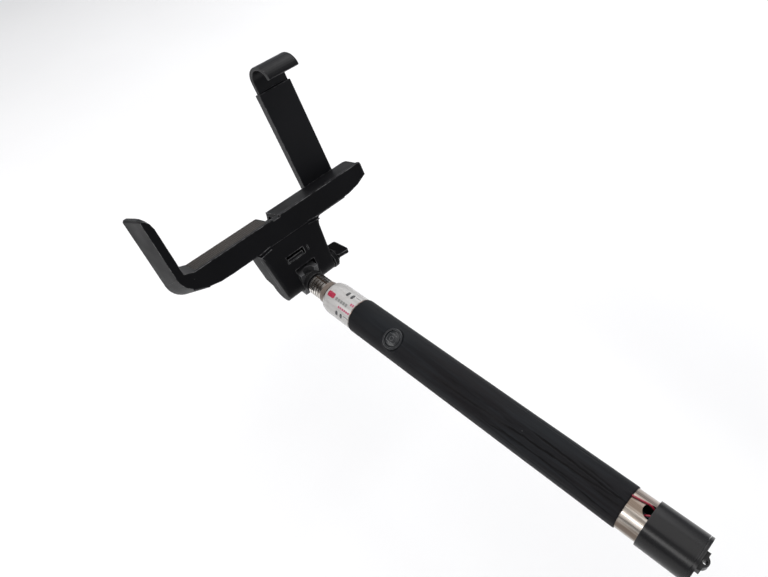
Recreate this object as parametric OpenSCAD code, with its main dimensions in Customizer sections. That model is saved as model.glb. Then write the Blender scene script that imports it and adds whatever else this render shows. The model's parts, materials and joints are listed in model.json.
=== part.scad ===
// Telescopic selfie stick with a wireless shutter button in the grip and a tilting,
// adjustable phone holder. The stick lies along Y with its head towards +Y, the holder
// stands up from it, and the wing knob of the tilt joint is on the +X side.
// The origin is on the stick's axis, at the middle of the hand grip.

/* [Hand grip] */
// Outside diameter of the rubber grip
grip_d = 20.5; // [20:0.1:21]
// Length of the rubber grip
grip_len = 163; // [155:1:170]
// Wall thickness of the rubber grip
grip_wall = 0.6; // [0.5:0.05:0.7]

/* [Handle tube] */
// Wall thickness of the steel handle tube
tube_wall = 0.7; // [0.6:0.05:0.8]
// Bare tube left visible between the grip and the end cap
bare_tail = 9.2; // [8:0.1:10]
// Bare tube between the grip and the start of the shoulder
bare_head = 18; // [16:0.5:20]
// Length of the rounded shoulder at the head end
shoulder_len = 6.5; // [5:0.5:7]
// Radius of the hole where the wires go into the tube
cable_hole_r = 3.4; // [3:0.1:3.6]

/* [End cap] */
// Outside diameter of the end cap
cap_d = 21.2; // [21:0.1:22]
// Length of the end cap without its plug
cap_len = 20.3; // [20:0.1:21]
// Thickness of the end plug's visible disc
plug_disc = 1.5; // [1.2:0.1:2]
// Radius of the hole for a wrist loop in the end plug's lug
lanyard_hole_r = 1; // [0.8:0.1:1.1]

/* [Shutter button] */
// Distance of the button from the middle of the grip
button_y = 50.4; // [45:0.2:55]
// Angle of the button round the grip, from the top towards -X
button_angle = 28; // [20:1:35]
// Outside radius of the button's bezel
bezel_r = 5.7; // [5.4:0.1:5.8]
// Radius of the pressing part
button_r = 4.4; // [4:0.1:4.5]

/* [Telescopic sections] */
// Outside radius of the widest sliding section
section_r = 5.9; // [5.8:0.05:5.95]
// Wall thickness of each section
section_wall = 0.3; // [0.25:0.01:0.3]
// Radius step from one section to the next
section_step = 0.5; // [0.48:0.01:0.52]
// Length of a tip ring
ring_len = 2.05; // [1.9:0.05:2.1]
// Outside radius of the tip rings
ring_r = 6.45; // [6.4:0.05:6.5]

/* [Tilt joint] */
// Distance of the tilt axis from the middle of the grip
pivot_y = 129.7; // [129:0.1:130]
// Lean of the phone holder at rest, away from the user
rest_tilt = 22.3; // [15:0.1:30]
// Width of the tongue
tongue_w = 12.8; // [12.4:0.1:12.9]
// Radius of the tongue's round end
tongue_r = 8; // [7.5:0.1:8.2]
// Radius of the pivot bolt
bolt_r = 2; // [1.8:0.1:2]

/* [Phone holder] */
// Height of the front wall's top above the tilt axis
ledge_v = 43.5; // [43:0.1:44]
// Right end of the holder's bar
bar_right = 62.8; // [60:0.2:63]
// Inner face of the left arm
arm_inner = -62.5; // [-64:0.5:-61]
// Back edge of the ledge, behind the tilt axis
ledge_back = 14.2; // [14:0.1:14.5]
// Top of the left arm above the tilt axis
arm_top = 80.4; // [77:0.2:84]

/* [Sliding arm and jaw] */
// Middle of the sliding arm across the holder
slide_x = 42.8; // [41:0.2:43]
// Width of the sliding arm
slide_w = 22.6; // [22:0.2:23]
// Thickness of the sliding arm
slide_t = 5; // [4.6:0.1:5.4]
// Top of the sliding arm above the tilt axis
slide_top = 101.3; // [95:0.1:103]
// Top of the jaw's hook above the tilt axis
jaw_top = 116.4; // [115:0.1:118]

/* [Hidden] */
$fn = 64;

eps = 0.01;            // overlap that joins touching shapes
cut = 1;               // how far a cutting tool runs past a face
slip = 0.05;           // radial clearance of a running fit
gap = 0.3;             // clearance between faces that slide past each other

// Stations along the stick
grip_r = grip_d / 2;
tube_r = grip_r - grip_wall - slip;
tube_bore = tube_r - tube_wall;
grip_tail = -grip_len / 2;
grip_head = grip_len / 2;
cap_r = cap_d / 2;
cap_head = grip_tail - bare_tail;
cap_tail = cap_head - cap_len;
plug_tail = cap_tail - plug_disc;
tube_tail = cap_tail + 1.2;
shoulder_y = grip_head + bare_head;
neck_y = shoulder_y + shoulder_len;
neck_r = section_r + 0.95;
neck_bore = section_r + 0.45;
bush_flange = 3.6;
rings_y = neck_y + bush_flange;
collar_tail = 121.6;
collar_head = 124.6;

// Wire from the button's board to the main board. It lies in a groove between the tube
// and the grip, and drops into the tube through the hole at the tail.
hole_y = cap_head + 0.5;
wire_r = 0.4;
wire_angle = -5;
groove_depth = 0.5;
groove_w = 2 * wire_r + 0.2;
groove_tail = grip_tail + 3;
channel_r = tube_r + 0.35;
long_wire = [
    [-1.5, 44, 8], [-1.5, 42, 8], [-1.2, 40, 8.2], [-0.5, 37, 8.8], [0.3, 34, 9.4],
    [0.8, 31, 9.5], [0.8, 10, 9.5], [0.8, -20, 9.5], [0.8, -50, 9.5], [0.8, -75, 9.5],
    [0.9, -78.5, 9.6], [1, -80.5, 10], [1.2, -82.5, 10.1], [1.6, -84.5, 10],
    [2, -86.5, 9.9], [2.3, -88, 9.7], [2.5, -89.4, 9], [2.6, -90.4, 7.9], [3, -91.4, 7.1],
    [3.7, -92.4, 6.9]
];
// Short wire from the battery to the main board, which bows out through the tail hole
short_wire = [
    [-3, -87, 5.2], [-2.6, -87.8, 6.3], [-2.1, -88.7, 7.6], [-1.6, -89.7, 8.5],
    [-1.2, -90.8, 8.7], [-0.6, -92, 8], [0.6, -93.6, 7.2], [2, -95, 6.9], [3.7, -96, 6.9]
];

// Board, dome switch and bezel of the shutter button, by height above the stick's axis
board_z = 6.8;
thin_board = 0.6;
dome_z = board_z + thin_board + slip;
bezel_z = 8;
button_rest = grip_r - 0.35;

// Electronics in the tail, on the +X side
board_x = 3.4;
board_t = 0.8;
parts_x = board_x + board_t;
usb_w = 7.5;
usb_h = 2.7;
usb_y = cap_tail + 7.6;
switch_y = cap_head - 5.2;
switch_l = 5.6;
switch_h = 2.4;
led_y = (usb_y + switch_y) / 2;
led_z = 4.4;
led_r = 0.7;
led_x = sqrt(cap_r * cap_r - pow(led_z + led_r, 2)) - 0.2;   // lens face, just inside the cap
cell_r = 4.9;
cell_x = -3.3;
cell_head = -69;
cell_tail = -103;
carrier_head = -62;
carrier_tail = tube_tail + 4.6;
carrier_end = 1.5;     // end wall of the carrier at its tail

// Sections
first_section = 2;
last_section = 7;
section_foot = -44;    // inner end of section 2
foot_step = 2.5;       // each next section starts this much nearer the head
tip_end = 121.3;       // outer end of the last section
function radius_of(k) = section_r - (k - first_section) * section_step;
function foot_of(k) = section_foot + (k - first_section) * foot_step;
function ring_start(k) = rings_y + (k - first_section) * ring_len;
function mouth_of(k) = (k == last_section) ? tip_end : ring_start(k) + ring_len / 2;
bush_len = 8;
keyway_w = 1.1;
keyway_depth = 0.12;

// Screw, collar and power switch
screw_r = 1.4;
head_r = 2.7;
head_y = collar_head + 1.2;
knob_x = 8.2;          // where the power switch's knob leaves its body

// Tilt joint's nut and wing knob
nut_x = -13;
nut_t = 3.2;
nut_r = 4;
seat_x = 18.3;         // flat seat on the ear that the knob's hub turns against
hub_x = seat_x + 0.35;
hub_len = 3.4;
hub_r = 5.9;
wing_end = 29.6;

// Neck of the holder, in its own frame: w is the depth, v the height
split_w = 0;           // plane between the holder's front and back shells
neck_front = -6.2;
neck_back = 13.8;
neck_low = -8;
neck_top = 31;
neck_half_low = 17.5;
neck_half_top = 21.1;
ear_r = 7.15;          // round lower end of the clevis ears, seen from the side
ear_w = neck_front + ear_r;
ear_v = 1.5;
ear_top = 4.5;
fillet_x = 24;         // how far out the neck's fillets reach along the bar
slot_half = 7;
slot_top = 10.2;

// Bar and ledge
bar_front = -6.5;
bar_bottom = 30;
bar_rise = 4.8;        // how far the lower edge climbs to the bar's ends
bar_flat = 42;         // half length of the straight stretch of the lower edge
shelf_t = 2.3;
shelf_top = ledge_v - 1;
shelf_low = shelf_top - shelf_t;
arm_front_x = arm_inner - 4.4;
arm_back_x = arm_inner - 7.5;
notch_x = -2.4;
notch_w = 7.2;
notch_floor = 38.3;

// Snap window in the neck's front
window_x0 = -8.8;
window_x1 = 3.8;
window_v0 = 15.9;
window_v1 = 20;

// Rubber pad on the ledge
pad_x0 = -55;
pad_x1 = notch_x - notch_w / 2 - 1.2;
pad_w0 = bar_front + 2.7;
pad_w1 = ledge_back - 0.8;
pad_top = shelf_top + 0.4;
pad_sunk = 0.8;
rib_pitch = 2.9;

// Back cover and its screws
cover_x0 = -53.8;
cover_x1 = bar_right - 0.6;
cover_w0 = bar_front + 2.7;
cover_t = 1.8;
screw_spots = [[-14, 21], [14, 21], [-40, 36], [24, 36]];

// Sliding arm, jaw and their guide
slide_front = ledge_back + gap + 0.1;
slide_back = slide_front + slide_t;
slide_wall = 0.85;
slide_foot = 22;
stem_w = slide_w - 1.8;
stem_t = slide_t - 2 * slide_wall - 0.3;
stem_back = slide_back - slide_wall - 0.15;
stem_foot = 62;
guide_t = 1.6;
guide_bottom = 24.5;
guide_top = 38.2;
spring_half = 4.8;
pocket_half = spring_half + 0.5;

// ---- Helpers ----------------------------------------------------------------

// Stands children with their +Z along the stick, starting at y
module along_stick(y) {
    translate([0, y, 0]) rotate([-90, 0, 0]) children();
}

// Round sleeve along the stick
module sleeve(y0, y1, r_out, r_in) {
    along_stick(y0) difference() {
        cylinder(h = y1 - y0, r = r_out);
        translate([0, 0, -cut]) cylinder(h = y1 - y0 + 2 * cut, r = r_in);
    }
}

// Solid rod along the stick
module rod(y0, y1, r) {
    along_stick(y0) cylinder(h = y1 - y0, r = r);
}

// Turns children from the top of the stick towards -X
module round_stick(angle) {
    rotate([0, -angle, 0]) children();
}

// The holder's own frame: X across, Y away from the user, Z up the holder
module in_holder() {
    translate([0, pivot_y, 0]) rotate([-rest_tilt, 0, 0]) children();
}

// Extrudes a front-view outline (x, height) from depth w0 to depth w1
module slab(w0, w1) {
    translate([0, w1, 0]) rotate([90, 0, 0]) linear_extrude(w1 - w0) children();
}

// Extrudes a side-view outline (depth, height) from x0 to x1
module prism(x0, x1) {
    translate([x0, 0, 0]) rotate([90, 0, 90]) linear_extrude(x1 - x0) children();
}

// Box given by two corners
module block(lo, hi) {
    translate(lo) cube(hi - lo);
}

// Rod along X
module cross_rod(x0, x1, r, w = 0, v = 0) {
    translate([x0, w, v]) rotate([0, 90, 0]) cylinder(h = x1 - x0, r = r);
}

function arc(cx, cy, rx, ry, a0, a1, n) =
    [for (i = [0:n]) let (a = a0 + (a1 - a0) * i / n) [cx + rx * cos(a), cy + ry * sin(a)]];

// Tube of round section swept along a route
function unit(v) = v / norm(v);
function tangent(p, i) =
    unit(p[min(i + 1, len(p) - 1)] - p[max(i - 1, 0)]);
function ring_at(p, i, r, n) =
    let (t = tangent(p, i), s = unit(cross(t, [1, 0.2, 0.1])), u = cross(t, s))
    [for (k = [0:n - 1]) p[i] + r * (cos(360 * k / n) * s + sin(360 * k / n) * u)];
module sweep(p, r, n = 8) {
    m = len(p);
    points = [for (i = [0:m - 1]) each ring_at(p, i, r, n)];
    sides = [for (i = [0:m - 2]) for (k = [0:n - 1])
        [i * n + k, i * n + (k + 1) % n, (i + 1) * n + (k + 1) % n, (i + 1) * n + k]];
    ends = [[for (k = [n - 1:-1:0]) k], [for (k = [0:n - 1]) (m - 1) * n + k]];
    polyhedron(points, concat(sides, ends), convexity = 4);
}

// ---- Handle -----------------------------------------------------------------

// Window through the +X side of the tail
module side_window(y, length, height) {
    block([0, y - length / 2, -height / 2], [cap_r + cut, y + length / 2, height / 2]);
}

// Windows for the charging socket, the power switch and the light
module tail_windows(margin) {
    side_window(usb_y, usb_w + 2 * margin, usb_h + 2 * margin);
    side_window(switch_y, switch_l, switch_h);
    cross_rod(0, cap_r + cut, led_r + 0.1, led_y, led_z);
}

module button_hole() {
    round_stick(button_angle) translate([0, button_y, 0]) cylinder(h = cap_r, r = bezel_r + 0.1);
}

module handle_tube() {
    round_steps = 6;
    slot_tail = 32.5;
    slot_len = 10;
    shoulder_out = arc(neck_r, shoulder_y, tube_r - neck_r, shoulder_len, 0, 90, round_steps);
    shoulder_in = arc(neck_bore, shoulder_y - 0.5, tube_bore - neck_bore,
                      shoulder_len - tube_wall, 90, 0, round_steps);
    color("silver") difference() {
        rotate([-90, 0, 0]) rotate_extrude() polygon(concat(
            [[tube_bore, tube_tail], [tube_r, tube_tail]],
            shoulder_out,
            [[neck_bore, neck_y]],
            shoulder_in));
        translate([0, hole_y, 0]) cylinder(h = cap_r, r = cable_hole_r);
        button_hole();
        round_stick(wire_angle)
            block([-groove_w / 2, groove_tail - 2, tube_r - groove_depth],
                  [groove_w / 2, button_y, tube_r + cut]);
        // Slot where the wire passes out through the tube's wall
        block([-2.1, slot_tail, tube_bore - 1], [1.3, slot_tail + slot_len, tube_r + cut]);
        tail_windows(0.3);
    }
}

module grip_sleeve() {
    lip = grip_wall * 0.9;
    lip_len = 1.6;
    color([0.2, 0.21, 0.23]) difference() {
        rotate([-90, 0, 0]) rotate_extrude() polygon(concat(
            [[tube_r + slip, grip_tail], [grip_r, grip_tail]],
            arc(grip_r - lip, grip_head - lip_len, lip, lip_len, 0, 90, 5),
            [[tube_r + slip, grip_head]]));
        button_hole();
        // Channel for the wire, wider where it crosses over from the button
        round_stick(wire_angle)
            block([-groove_w / 2, grip_tail - cut, 0], [groove_w / 2, button_y, channel_r]);
        block([-1.4, 32, 0], [1.3, 39, channel_r]);
        // Notch in the tail edge where the wire comes out
        block([0.3, grip_tail - cut, 0], [1.9, groove_tail, cap_r]);
    }
}

// Film round the bare tube and over the start of its shoulder
module wrap_label() {
    film = 0.12;
    start = grip_head + 0.6;
    turn = 45;
    turn_steps = 3;
    color([0.86, 0.86, 0.85]) rotate([-90, 0, 0]) rotate_extrude() polygon(concat(
        [[tube_r + eps, start], [tube_r + film, start]],
        arc(neck_r, shoulder_y, tube_r - neck_r + film, shoulder_len + film, 0, turn, turn_steps),
        arc(neck_r, shoulder_y, tube_r - neck_r + eps, shoulder_len + eps, turn, 0, turn_steps)));
}

module neck_bush() {
    inner = section_r + slip;
    inside_len = 6;
    color([0.45, 0.38, 0.34]) union() {
        sleeve(neck_y, neck_y + bush_flange, neck_r - slip, inner);
        sleeve(neck_y - inside_len, neck_y + eps, neck_bore - 0.02, inner);
    }
}

module button_bezel() {
    floor_t = 0.6;
    rim_z = grip_r + 0.4;
    chamfer = 0.3;
    stem_hole_r = 2.2;
    color([0.07, 0.07, 0.08]) round_stick(button_angle) translate([0, button_y, 0]) difference() {
        union() {
            translate([0, 0, bezel_z]) cylinder(h = rim_z - bezel_z, r = bezel_r);
            translate([0, 0, rim_z - eps]) cylinder(h = chamfer, r1 = bezel_r, r2 = bezel_r - chamfer);
        }
        translate([0, 0, bezel_z + floor_t]) cylinder(h = grip_r, r = button_r + 0.15);
        translate([0, 0, bezel_z - cut]) cylinder(h = grip_r, r = stem_hole_r);
    }
}

module shutter_button() {
    stem_r = 1.6;
    stem_z = dome_z + 1.3;
    side_h = 0.5;
    crown_h = 1.1;
    color([0.1, 0.1, 0.11]) round_stick(button_angle) translate([0, button_y, 0]) {
        translate([0, 0, button_rest]) rotate_extrude() polygon(concat(
            [[0, 0], [button_r, 0], [button_r, side_h]],
            arc(0, side_h, button_r, crown_h, 8, 90, 8)));
        translate([0, 0, stem_z]) cylinder(h = button_rest + eps - stem_z, r = stem_r);
    }
}

module dome_switch() {
    half_x = 2.1;
    half_y = 1.9;
    case_h = 0.45;
    color([0.75, 0.75, 0.78]) round_stick(button_angle) translate([0, button_y, dome_z]) {
        block([-half_x, -half_y, 0], [half_x, half_y, case_h]);
        cylinder(h = case_h + 0.15, r = 1.2);
    }
}

module button_board() {
    half_w = 3.9;
    color([0.1, 0.35, 0.2]) round_stick(button_angle)
        block([-half_w, button_y - 8, board_z], [half_w, button_y + 6, board_z + thin_board]);
}

module signal_wires() {
    color([0.75, 0.1, 0.15]) {
        sweep(long_wire, wire_r);
        sweep(short_wire, wire_r);
    }
}

module end_cap() {
    color([0.09, 0.09, 0.1]) difference() {
        sleeve(cap_tail, cap_head, cap_r, tube_r + slip);
        tail_windows(0.5);
    }
}

module end_plug() {
    lug_w = 9;
    lug_h = 3.2;
    lug_t = 3.4;
    nose = lug_w / 3;
    spigot_head = tube_tail + 2.4;
    spigot_wall = 1.2;
    color([0.08, 0.08, 0.09]) difference() {
        union() {
            rod(plug_tail, cap_tail - 0.35, cap_r - slip);
            rod(plug_tail + 0.5, cap_tail - 0.15, cap_r - 0.25);
            rod(cap_tail - 0.4, spigot_head, tube_bore - 2 * slip);
            block([-lug_w / 2, plug_tail - lug_h + nose / 2, -lug_t / 2],
                  [lug_w / 2, plug_tail + eps, lug_t / 2]);
            translate([0, plug_tail - lug_h + nose, -lug_t / 2]) cylinder(h = lug_t, r = nose);
        }
        translate([0, plug_tail - lug_h / 2 + 0.1, -lug_t]) cylinder(h = 2 * lug_t, r = lanyard_hole_r);
        rod(cap_tail + 0.4, spigot_head + cut, tube_bore - 2 * slip - spigot_wall);
    }
}

// ---- Electronics in the tail --------------------------------------------------

// Holds the battery and the board, open towards +Z and +X
module module_carrier() {
    far = 10;
    deck_z = 4;
    trough_x = 0.9;
    trough_z = -2;
    y0 = carrier_tail + carrier_end;
    y1 = carrier_head - 2;
    color([0.25, 0.25, 0.27]) difference() {
        rod(carrier_tail, carrier_head, tube_bore - 0.15);
        block([board_x - slip, carrier_tail - cut, -far], [far, carrier_head + cut, far]);
        translate([cell_x, 0, 0]) rod(y0, y1, cell_r + 0.1);
        block([-far, y0, deck_z], [far, y1, far]);
        block([trough_x, y0, trough_z], [far, y1, far]);
    }
}

module battery_cell() {
    button_r = 1.6;
    color([0.2, 0.35, 0.6]) translate([cell_x, 0, 0]) {
        rod(cell_tail, cell_head, cell_r);
        rod(cell_head - eps, cell_head + 1, button_r);
    }
}

module main_board() {
    half_w = 6.8;
    color([0.1, 0.35, 0.2]) union() {
        block([board_x, carrier_tail + gap, -half_w], [parts_x, carrier_head - 2, half_w]);
        // Radio chip and charging chip
        block([parts_x - eps, -84, -2.5], [parts_x + 1.2, -79, 2.5]);
        block([parts_x - eps, -75, -2], [parts_x + 0.9, -71, 2]);
    }
}

module usb_socket() {
    shell = 0.35;
    mouth_x = tube_r - 0.2;
    half_w = usb_w / 2;
    half_h = usb_h / 2;
    tongue_half = 2;
    color("silver") union() {
        difference() {
            block([parts_x, usb_y - half_w, -half_h], [mouth_x, usb_y + half_w, half_h]);
            block([parts_x + 0.8, usb_y - half_w + shell, -half_h + shell],
                  [mouth_x + cut, usb_y + half_w - shell, half_h - shell]);
        }
        block([parts_x + 0.7, usb_y - tongue_half, -0.3], [mouth_x - 0.8, usb_y + tongue_half, 0.3]);
    }
}

module switch_body() {
    half_l = 3.5;
    half_h = 1.9;
    color([0.7, 0.7, 0.72]) difference() {
        block([parts_x, switch_y - half_l, -half_h], [knob_x, switch_y + half_l, half_h]);
        block([knob_x - 1.8, switch_y - half_l + 1, -0.9], [knob_x + cut, switch_y + half_l - 1, 0.9]);
    }
}

module switch_knob() {
    foot_y = switch_y - 2.3;
    foot_l = 2;
    color([0.12, 0.12, 0.13]) union() {
        block([knob_x - 1.5, foot_y, -0.7], [knob_x, foot_y + foot_l, 0.7]);
        block([knob_x - eps, foot_y - 0.1, -0.9], [cap_r - 0.1, foot_y + foot_l - 0.1, 0.9]);
    }
}

module status_led() {
    color([0.2, 0.4, 0.9]) cross_rod(parts_x, led_x, led_r, led_y, led_z);
}

// ---- Telescopic sections --------------------------------------------------------

module section(k) {
    r = radius_of(k);
    color("silver") difference() {
        sleeve(foot_of(k), mouth_of(k), r, r - section_wall);
        round_stick(wire_angle)
            block([-keyway_w / 2, foot_of(k) + bush_len + 2, r - keyway_depth],
                  [keyway_w / 2, tip_end + cut, r + cut]);
    }
}

// Ring on the mouth of section k, with the keyway's groove across its top
module tip_ring(k) {
    r = radius_of(k);
    inner = radius_of(k + 1) + slip;
    y0 = ring_start(k) + 0.05;
    y1 = ring_start(k + 1) - 0.05;
    color([0.8, 0.8, 0.8]) difference() {
        union() {
            sleeve(y0, y1, ring_r - 0.2, inner);
            sleeve(y0 + 0.25, y1 - 0.25, ring_r, inner);
        }
        rod(y0 - cut, mouth_of(k) + 0.02, r + 0.02);
        round_stick(wire_angle)
            block([-keyway_w / 2, y0 - cut, ring_r - 0.35], [keyway_w / 2, y1 + cut, ring_r + cut]);
    }
}

// Bush on the foot of section k. The widest one has a flat that clears the button's board.
module friction_bush(k) {
    outer = (k == first_section) ? tube_bore : radius_of(k - 1) - section_wall;
    y0 = foot_of(k) - 0.8;
    y1 = foot_of(k) + bush_len;
    color([0.85, 0.85, 0.8]) difference() {
        sleeve(y0, y1, outer - slip, radius_of(k) + eps);
        if (k == first_section)
            round_stick(button_angle)
                block([-outer, y0 - cut, board_z - 0.2], [outer, y1 + cut, outer]);
    }
}

// ---- Tip, tongue and tilt joint ---------------------------------------------------

module tip_plug() {
    r = radius_of(last_section);
    color([0.6, 0.6, 0.62]) difference() {
        union() {
            rod(tip_end - 14, tip_end + 0.1, r - section_wall - 0.01);
            rod(tip_end + 0.05, collar_tail + 1.4, r + 1);
        }
        rod(tip_end - 12, collar_tail + 2, screw_r);
    }
}

module lock_collar() {
    color([0.06, 0.06, 0.06]) sleeve(collar_tail, collar_head, ring_r, radius_of(last_section) + 1.05);
}

module tongue_screw() {
    head_t = 1.4;
    screw_slot = 0.8;
    color([0.55, 0.55, 0.57]) difference() {
        union() {
            rod(tip_end - 11, head_y + eps, screw_r - 0.02);
            rod(head_y, head_y + head_t, head_r);
        }
        block([-screw_slot / 2, head_y + 0.8, -head_r], [screw_slot / 2, head_y + 2, head_r]);
    }
}

module tongue() {
    half = tongue_w / 2;
    pocket_r = 3.6;
    pocket_z = 3.2;
    seat_half = head_r + 0.35;
    color([0.3, 0.3, 0.31]) difference() {
        union() {
            translate([0, pivot_y, 0]) cross_rod(-half, half, tongue_r);
            block([-half, collar_head, -tongue_r], [half, pivot_y, tongue_r]);
        }
        // Flat end that turns against the lock collar
        block([-half - cut, pivot_y - 2 * tongue_r, -2 * tongue_r],
              [half + cut, collar_head + gap, 2 * tongue_r]);
        translate([0, pivot_y, 0]) cross_rod(-half - cut, half + cut, bolt_r + slip);
        rod(collar_head - cut, head_y + cut, screw_r + slip);
        // Seat of the screw's head, and the arched pocket that it is reached through
        block([-seat_half, head_y - eps, -seat_half], [seat_half, head_y + 1.65, tongue_r + cut]);
        translate([0, head_y - 0.2, pocket_z]) cylinder(h = 2 * tongue_r, r = pocket_r);
    }
}

module pivot_bolt() {
    color([0.6, 0.6, 0.62]) in_holder() cross_rod(nut_x - 1.5, hub_x + 1.5, bolt_r);
}

module clevis_nut() {
    color([0.7, 0.68, 0.6]) in_holder() translate([nut_x, 0, 0]) rotate([0, 90, 0]) difference() {
        cylinder(h = nut_t, r = nut_r, $fn = 6);
        translate([0, 0, -cut]) cylinder(h = nut_t + 2 * cut, r = bolt_r + slip);
    }
}

module tilt_washers() {
    half = tongue_w / 2;
    color([0.15, 0.15, 0.15]) in_holder() for (side = [-1, 1]) difference() {
        cross_rod(side > 0 ? half + 0.05 : -slot_half, side > 0 ? slot_half : -half - 0.05, 6);
        cross_rod(-slot_half - cut, slot_half + cut, bolt_r + slip);
    }
}

// Hub with a flat wing that stands a little above its axis and leans back
module thumb_knob() {
    lean = 13.5;
    lift = 2.4;
    wing_t = 2.4;
    wing_root = hub_x + hub_len - 1.5;
    front_w = -6.8;
    back_w = 7.8;
    corner = 1.6;
    neck_x = 24.6;
    bridge_w = 3.6;
    color([0.13, 0.13, 0.13]) in_holder() difference() {
        union() {
            cross_rod(hub_x, hub_x + hub_len - 0.8, hub_r);
            translate([hub_x + hub_len - 0.8 - eps, 0, 0]) rotate([0, 90, 0])
                cylinder(h = 0.8, r1 = hub_r, r2 = hub_r - 0.8);
            rotate([lean, 0, 0]) translate([0, 0, lift - wing_t / 2]) linear_extrude(wing_t) polygon(concat(
                [[wing_root, front_w + 3], [neck_x - 2, front_w + 1]],
                arc(wing_end - corner, front_w + corner, corner, corner, 270, 360, 5),
                arc(wing_end - corner, back_w - corner, corner, corner, 0, 90, 5),
                [[neck_x - 1, back_w + 0.4], [wing_root, back_w - 3]]));
            // Rounded bridge from the hub to the wing's underside
            hull() {
                cross_rod(hub_x + hub_len - 1, hub_x + hub_len - 0.4, hub_r - 1.4);
                rotate([lean, 0, 0])
                    block([neck_x - 2, -bridge_w, lift - wing_t / 2], [neck_x + 1.2, bridge_w, lift]);
            }
        }
        cross_rod(hub_x - cut, hub_x + 2.2, bolt_r + 0.01);
    }
}

// ---- Phone holder ---------------------------------------------------------------

function low_edge(x) =
    bar_bottom + bar_rise * pow(max(0, (abs(x) - bar_flat) / (bar_right - bar_flat)), 2);
low_xs = [for (i = [0:16]) bar_right - 2 * bar_right * i / 16];

// Front view of the bar: straight ledge on top, lower edge curving up to both ends
module bar_outline(inset = 0) {
    right = bar_right - inset;
    raise = inset / 2;
    polygon(concat(
        [[arm_inner, ledge_v], [right - 1.4, ledge_v]],
        [[right - 0.4, ledge_v - 0.4], [right, ledge_v - 1.4]],
        [for (x = low_xs) if (x > arm_inner) [min(x, right), low_edge(x) + raise]],
        [[arm_inner, low_edge(arm_inner) + raise]]));
}

// Plan view of the ledge. Its right end leans outward and has a rounded back corner.
module shelf_outline() {
    corner = 2.5;
    flare = 1.4;
    polygon(concat(
        [[arm_inner - 1, bar_front + 1.2], [bar_right - 1, bar_front + 1.2]],
        arc(bar_right + flare - corner, ledge_back - corner, corner, corner, 0, 90, 5),
        [[arm_inner - 1, ledge_back]]));
}

// The left arm leans outward from front to back; so does its round outer corner
module left_arm() {
    thin = 0.1;
    foot = ledge_v - 3;
    tip = arm_top - 0.8;
    mid_w = -1;
    corner_r = 11;
    front_turn = ledge_v + 1.5;      // height where the corner's curve starts, at the front
    back_turn = ledge_v - 4.7;       // and at the back
    corner_end = arm_inner + 8.5;    // where the corner has run into the bar
    hull() {
        slab(bar_front, bar_front + thin) polygon([
            [arm_inner + 0.2, foot], [arm_inner + 0.2, tip - 6.4], [arm_inner - 0.5, tip - 3.2],
            [arm_inner - 1.8, tip - 1.1], [arm_front_x + 0.8, tip - 0.1], [arm_front_x, tip - 0.7],
            [arm_front_x, front_turn]]);
        slab(mid_w, mid_w + thin) polygon([
            [arm_inner + 0.2, foot], [arm_inner + 0.2, tip - 5.4], [arm_inner - 0.8, tip - 1.6],
            [arm_inner - 2.4, tip + 0.5], [arm_front_x - 0.2, tip + 0.6],
            [arm_front_x - 0.9, front_turn - 2]]);
        slab(ledge_back - thin, ledge_back) polygon([
            [arm_inner, foot], [arm_inner, arm_top - 5], [arm_inner - 1.2, arm_top - 2.2],
            [arm_back_x + 2.8, arm_top], [arm_back_x + 0.9, arm_top], [arm_back_x, arm_top - 1],
            [arm_back_x, back_turn]]);
    }
    hull() {
        slab(bar_front, bar_front + thin) polygon(concat(
            [[corner_end, ledge_v - 1], [arm_inner, ledge_v + 2], [arm_front_x, front_turn]],
            arc(arm_front_x + corner_r, front_turn, corner_r, corner_r, 180, 240, 6),
            [[corner_end, low_edge(corner_end)]]));
        slab(ledge_back - thin, ledge_back) polygon(concat(
            [[corner_end, ledge_v - 1], [arm_inner, ledge_v + 2], [arm_back_x, front_turn]],
            arc(arm_back_x + corner_r, back_turn, corner_r, corner_r, 180, 270, 8),
            [[corner_end, bar_bottom - 1.8]]));
    }
}

// One level of the neck, seen from above: a rectangle with rounded corners
module neck_level(v, half) {
    front_r = 2;
    back_r = 1.5;
    for (side = [-1, 1]) {
        translate([side * (half - front_r), neck_front + front_r, v])
            cylinder(h = 0.1, r = front_r, $fn = 32);
        translate([side * (half - back_r), neck_back - back_r, v])
            cylinder(h = 0.1, r = back_r, $fn = 32);
    }
}

// Neck between two depths, with the clevis ears rounded below and thinner than the neck
module neck_part(w0, w1) {
    intersection() {
        hull() {
            neck_level(neck_low, neck_half_low);
            neck_level(neck_top - 0.1, neck_half_top);
        }
        prism(-bar_right, bar_right) polygon(concat(
            [[neck_front - cut, neck_top], [neck_front - cut, ear_v]],
            arc(ear_w, ear_v, ear_r, ear_r, 180, 360, 16),
            [[ear_w + ear_r, ear_top], [neck_back + cut, ear_top + 6], [neck_back + cut, neck_top]]));
        block([-bar_right, w0, neck_low], [bar_right, w1, neck_top]);
    }
}

// Fillets where the neck's sides run into the bar
module neck_fillets(w0, w1) {
    for (side = [-1, 1])
        slab(w0, w1) polygon([
            [side * 20, 25], [side * 20.6, 26.6], [side * 21.2, 28.2], [side * 22.2, 29.4],
            [side * (fillet_x - 0.2), bar_bottom], [side * 20, bar_bottom + 1]]);
}

// Notch in the ledge and the wall behind it
module ledge_notch(w0) {
    slab(w0, ledge_back + cut) polygon([
        [notch_x - notch_w / 2, ledge_v + cut], [notch_x - notch_w / 2, shelf_top - 0.6],
        [notch_x - 1.5, notch_floor], [notch_x + 2.6, notch_floor],
        [notch_x + notch_w / 2, shelf_top - 0.6], [notch_x + notch_w / 2, ledge_v + cut]]);
}

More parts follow.
